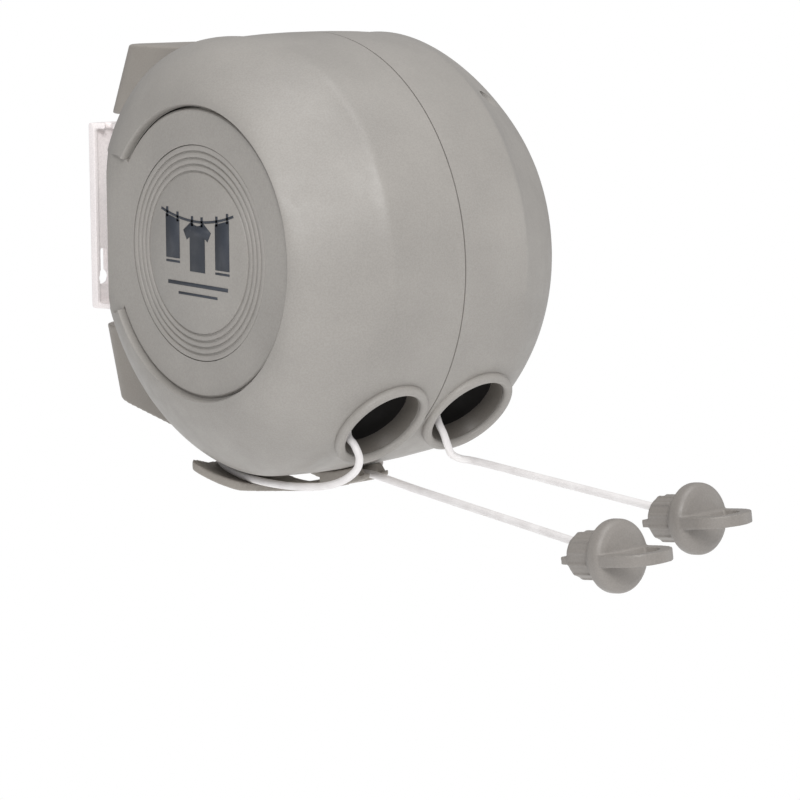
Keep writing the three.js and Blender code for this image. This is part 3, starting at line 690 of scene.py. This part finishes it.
def screw_well(degrees):
    """The hole down to a shell screw, in the right shell."""
    y = SCREW_CIRCLE * math.cos(math.radians(degrees))
    z = SCREW_CIRCLE * math.sin(math.radians(degrees))
    outline = [(0, 34), (SCREW_WELL_RADIUS, 34), (SCREW_WELL_RADIUS, 80), (0, 80)]
    return revolve("well", outline, 40, lambda along, u, v: row((along, y + u, z + v)))


def add_shells():
    body = joined("left_shell_skin", [outer_body(), mouth_collar()])
    moulded(body, 1.3, 7)
    cut(body, rear_flat(0))
    moulded(body, SHELL_VOXEL, 2)
    room = cut(inner_room(), rear_flat(WALL), collar_inside())
    cut(body, face_cutter(), rim_gap(-FACE_X - 6, -FACE_X), room, mouth_funnel(), badge_seat())
    made = bmesh.new()
    made.from_mesh(body.data)
    bmesh.ops.bisect_plane(
        made, geom=made.verts[:] + made.edges[:] + made.faces[:], dist=1e-7,
        plane_co=(-SEAM_GAP / 2 * MM, 0, 0), plane_no=(1, 0, 0), clear_outer=True,
    )
    rim = [edge for edge in made.edges if edge.is_boundary]
    bmesh.ops.triangle_fill(made, edges=rim, use_dissolve=False, use_beauty=True)
    bmesh.ops.recalc_face_normals(made, faces=made.faces)
    made.to_mesh(body.data)
    made.free()
    twin = mirrored(body, "right_shell_skin")
    for degrees in SCREW_ANGLES:
        cut(twin, screw_well(degrees))
    for side, obj in (("left", body), ("right", twin)):
        creased(obj)
        finish_piece(obj, HOUSING_PLASTIC, "housing")
        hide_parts(f"{side}_shell")


def add_seam_lap():
    """The lap inside the seam, which keeps light out between the shells."""
    low, high = HOUSING_RADIUS - 2.7, HOUSING_RADIUS - 0.9
    ring = [(low, -1.5), (high, -1.5), (high, 1.5), (low, 1.5), (low, -1.5)]
    lap = creased(revolve("seam_lap", ring, SIDES, lambda along, u, v: row((along, u, v))))
    finish_piece(lap, HOUSING_PLASTIC, "housing")


def add_liners():
    """The funnel-shaped liner in each mouth, with its throat, in near-black reel plastic as painted
    shade for the shadowed inside of the mouth, and the sleeve in front of it, in a darker grey as
    painted shade on the mouth's inner wall.
    """
    r = MOUTH_RADIUS
    start = -SHADE_LINER_START - 0.3
    end = -FUNNEL_DEPTH + 0.8
    inside = quadratic((4.6, end - 3), (3.2, end - 2), (3.4, end - 0.6), 5)
    inside += quadratic(inside[-1], (3.6, end + 1.4), (6, end + 2.4), 6)
    inside += quadratic(inside[-1], (14.2, end + 4), (r - 1.2, start), 12)
    ring = inside + [(r - 0.6, start + 0.15), (r, start), (r, end)]
    ring += [(5.9, end), (5.9, end - 3), (4.6, end - 3)]
    # The liner's near-black is painted shade for the shadowed funnel, not the colour of the grey
    # plastic there.
    left = creased(revolve("left_mouth_liner", ring, 96, along_mouth), 50)
    add_pair(left, REEL_PLASTIC_AND_PAINTED_SHADE, "line_guide")
    # The sleeve's darker grey is painted shade on the inner wall below the lip.
    wall = [(r - 0.1, -1.5), (r - 0.4, -1.9), (r - 1, start), (r - 0.5, start), (r + 0.2, -1.5)]
    left = creased(revolve("left_mouth_sleeve", wall, 96, along_mouth), 50)
    add_pair(left, SLEEVE_PAINTED_SHADE)


def add_badges():
    """The round insert in each side face, with its fine turned grooves."""
    profile = [(0, -FACE_X + 1.2), (0, -FACE_X)]
    for radius in BADGE_RINGS:
        profile += [
            (radius - 0.75, -FACE_X), (radius - 0.5, -FACE_X + 0.14), (radius - 0.3, -FACE_X + 0.75),
            (radius + 0.3, -FACE_X + 0.75), (radius + 0.5, -FACE_X + 0.14), (radius + 0.75, -FACE_X),
        ]
    edge = BADGE_RADIUS
    profile += [
        (edge - 0.5, -FACE_X), (edge - 0.15, -FACE_X + 0.12), (edge, -FACE_X + 0.4),
        (edge, -FACE_X + 1.2), (0, -FACE_X + 1.2),
    ]
    left = creased(revolve("left_face_insert", profile, SIDES, about_axle), 50)
    add_pair(left, HOUSING_PLASTIC)


def flat_print(name, outlines):
    """Thin ink shapes on the left face insert: a is towards the front and b is up, from the axle."""
    parts = []
    for outline in outlines:
        parts.append(prism(
            "ink", outline, 0.02, 0.14,
            lambda a, b, c: (AXLE_CENTRE + Vector((-FACE_X - c, -a, b + PRINT_RISE))) * MM,
        ))
    return joined(name, parts)


def band(points, width):
    """An outline of even width along points."""
    left = []
    right = []
    for i, (a, b) in enumerate(points):
        before = points[max(i - 1, 0)]
        after = points[min(i + 1, len(points) - 1)]
        length = math.hypot(after[0] - before[0], after[1] - before[1])
        normal = (-(after[1] - before[1]) / length, (after[0] - before[0]) / length)
        left.append((a + normal[0] * width / 2, b + normal[1] * width / 2))
        right.append((a - normal[0] * width / 2, b - normal[1] * width / 2))
    return left + right[::-1]


def sagging(a):
    """The height of the drawn washing line at a."""
    return 13.5 - 4.0 * (1 - (a / 24) ** 2)


def add_print():
    """A plain pictogram of washing on a line."""
    line = band([(a, sagging(a)) for a in np.linspace(-24, 24, 25)], 1.0)
    shirt = [
        (-4, 9.2), (-2.2, 8.2), (0, 7.7), (2.2, 8.2), (4, 9.2), (9.2, 5.6), (6.9, 1.8), (5, 3.0),
        (5, -11), (-5, -11), (-5, 3.0), (-6.9, 1.8), (-9.2, 5.6),
    ]
    towels = []
    for middle, drop in ((-16.5, -6.5), (16.5, -9.0)):
        left, right = middle - 4.6, middle + 4.6
        towels.append([
            (left, sagging(left) - 1.1), (right, sagging(right) - 1.1), (right, drop), (left, drop),
        ])
        towels.append([
            (left, drop - 0.9), (right, drop - 0.9), (right, drop - 1.8), (left, drop - 1.8),
        ])
    pegs = []
    for a in (-20, -13, -3.2, 3.2, 13, 20):
        low, high = sagging(a) - 2, sagging(a) + 2
        pegs.append([(a - 0.7, high), (a + 0.7, high), (a + 0.7, low), (a - 0.7, low)])
    rules = [
        band([(-half, b), (half, b)], width) for half, b, width in ((20, -16.5, 1.5), (13, -20.5, 1.0))
    ]
    printed = flat_print("printed_pictogram", [line, shirt] + towels + pegs + rules)
    finish_piece(printed, PRINT_INK, "housing")


add_shells()
add_seam_lap()
add_lips()
add_liners()
add_badges()
add_print()


# ---- yoke, cleat and bracket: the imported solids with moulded, rounded edges ----
def rounded_copy(node, voxel, rounds, slot, body):
    obj = bpy.data.objects.new(f"{node}_moulding", NODES[node].data.copy())
    bpy.context.scene.collection.objects.link(obj)
    moulded(obj, voxel, rounds)
    finish_piece(obj, FINISHES[slot], body)
    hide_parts(node)


rounded_copy("swivel_yoke", 0.65, 8, "dark_plastic", "housing")
rounded_copy("line_cleat", 0.5, 5, "dark_plastic", "housing")
rounded_copy("wall_bracket", 0.5, 2, "bracket_plastic", "bracket")

# ---- pull handles ----
HANDLE_PITCH = math.radians(9)
HANDLE_FINS = 12
CLEAR_OF_HANDLE = 32  # how far behind the flange the line's bore is begun


def add_handle(side, place, run_start):
    """A finned plug, flange and finger ring, with a rib across its back and a bore for the line."""
    forward = Vector((0, -math.cos(HANDLE_PITCH), math.sin(HANDLE_PITCH)))
    upward = Vector((0, math.sin(HANDLE_PITCH), math.cos(HANDLE_PITCH)))

    def out(along, u, v):
        return (HOUSING + place + forward * along + Vector((u, 0, 0)) + upward * v) * MM

    plug = revolve("plug", [
        (0, -19.5), (7.4, -19.5), (8.4, -18.8), (8.7, -17.6), (8.7, -6), (11.0, -6),
        (11.5, -5.6), (11.5, -3.4), (12.9, -3.4), (13.6, -3.0), (13.8, -2.2), (13.8, 0.6),
        (13.5, 1.6), (12.6, 2.7), (10.6, 3.7), (7, 4.5), (0, 4.9),
    ], 72, out)
    ring = [(-1, -13)] + arc((9.5, 0), 13, -90, 90, 28) + [(-1, 13)]
    outer = prism("ring", ring, -2.2, 2.2, out)
    hole = [(5.5, -8.4)] + arc((9.5, 0), 8.4, -90, 90, 24) + [(5.5, 8.4)]
    cut(outer, prism("hole", hole, -5, 5, out))
    rib = [(-22.2, -8.2), (-14.2, -8.2), (-14.2, 8.2), (-22.2, 8.2)]
    parts = [plug, outer, prism("rib", rib, -2.5, 0.5, out)]
    low, high = 7.5, 9.3
    fin = [(-18.6, low), (-6, low), (-6, high), (-17.6, high), (-18.6, high - 0.7)]
    for i in range(HANDLE_FINS):
        turn = 2 * math.pi * i / HANDLE_FINS + math.pi / HANDLE_FINS
        cos, sin = math.cos(turn), math.sin(turn)
        parts.append(prism(
            "fin", fin, -0.55, 0.55,
            lambda a, b, c: out(a, b * cos - c * sin, b * sin + c * cos),
        ))
    handle = joined(f"{side}_pull_handle_moulding", parts)
    moulded(handle, 0.4, 2)
    back = (run_start - place).normalized()
    end = place + back * (HANDLE_INSIDE - 1)
    away = place + back * CLEAR_OF_HANDLE
    bore = swept_tube("bore", [HOUSING + away, HOUSING + end], LINE_DIAMETER + 1.0, 28)
    cut(handle, bore)
    creased(handle)
    finish_piece(handle, HANDLE_PLASTIC, f"{side}_pull")
    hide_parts(f"{side}_pull_handle")


add_handle("left", LEFT_HANDLE, LEFT_RUN_START)
add_handle("right", RIGHT_HANDLE, RIGHT_RUN_START)

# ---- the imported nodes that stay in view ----
for subpart in frame["record"]["subparts"]:
    node = NODES[subpart["node"]]
    if node.hide_render:
        continue
    node.data.materials.clear()
    node.data.materials.append(FINISHES[subpart["material_slot"]])
    for face in node.data.polygons:
        face.material_index = 0


# ---- floor, light and background ----
FLOOR_HEIGHT = -0.55
FLOOR_REACH = 6
FLOOR_GLOW = 0.42
ROOM_LIGHT = 0.38
MIDDLE = (0, -0.16, -0.02)  # where the lamps point


def unlike_to_camera(tree, usual, seen):
    """One shader for all light but what reaches the camera straight, which gets the other."""
    rays = tree.nodes.new("ShaderNodeLightPath")
    mix = tree.nodes.new("ShaderNodeMixShader")
    tree.links.new(rays.outputs["Is Camera Ray"], mix.inputs["Fac"])
    tree.links.new(usual, mix.inputs[1])
    tree.links.new(seen, mix.inputs[2])
    return mix.outputs["Shader"]


def add_floor():
    """A pale floor that lights the object from below, with the white room seen through it."""
    corners = [(-1, -1), (1, -1), (1, 1), (-1, 1)]
    vertices = [(x * FLOOR_REACH, y * FLOOR_REACH, FLOOR_HEIGHT) for x, y in corners]
    floor = mesh_object("floor", vertices, [(0, 1, 2, 3)])
    material, tree, shader, where = new_material("floor_paper")
    pale = [(0.3, (0.80, 0.80, 0.80, 1)), (0.7, (0.84, 0.84, 0.84, 1))]
    tree.links.new(ramp(tree, noise(tree, where, 3, 2), pale), shader.inputs["Base Color"])
    shader.inputs["Roughness"].default_value = 0.9
    shader.inputs["Emission Color"].default_value = (1, 1, 1, 1)
    shader.inputs["Emission Strength"].default_value = FLOOR_GLOW
    clear = tree.nodes.new("ShaderNodeBsdfTransparent")
    surface = unlike_to_camera(tree, shader.outputs["BSDF"], clear.outputs["BSDF"])
    tree.links.new(surface, tree.nodes["Material Output"].inputs["Surface"])
    floor.data.materials.append(material)


def add_light(name, place, target, size, power):
    data = bpy.data.lights.new(name, "AREA")
    data.shape = "DISK"
    data.size = size
    data.energy = power
    light = bpy.data.objects.new(name, data)
    light.location = place
    light.rotation_euler = (Vector(target) - Vector(place)).to_track_quat("-Z", "Y").to_euler()
    bpy.context.scene.collection.objects.link(light)


def add_world():
    """A dim room that lights the object, which the camera sees as white paper."""
    world = bpy.data.worlds.new("studio")
    world.use_nodes = True
    tree = world.node_tree
    room = tree.nodes["Background"]
    room.inputs["Color"].default_value = (0.97, 0.98, 1, 1)
    room.inputs["Strength"].default_value = ROOM_LIGHT
    paper = tree.nodes.new("ShaderNodeBackground")
    paper.inputs["Color"].default_value = (1, 1, 1, 1)
    paper.inputs["Strength"].default_value = 1.0
    surface = unlike_to_camera(tree, room.outputs["Background"], paper.outputs["Background"])
    tree.links.new(surface, tree.nodes["World Output"].inputs["Surface"])
    bpy.context.scene.world = world
    bpy.context.scene.view_settings.view_transform = "Standard"


add_floor()
add_world()
add_light("key", (-1.2, -1.6, 1.2), MIDDLE, 0.8, 29)
add_light("top", (0.1, -0.6, 1.9), MIDDLE, 1.4, 18)
add_light("fill", (1.7, -1.0, 0.1), MIDDLE, 1.2, 4)
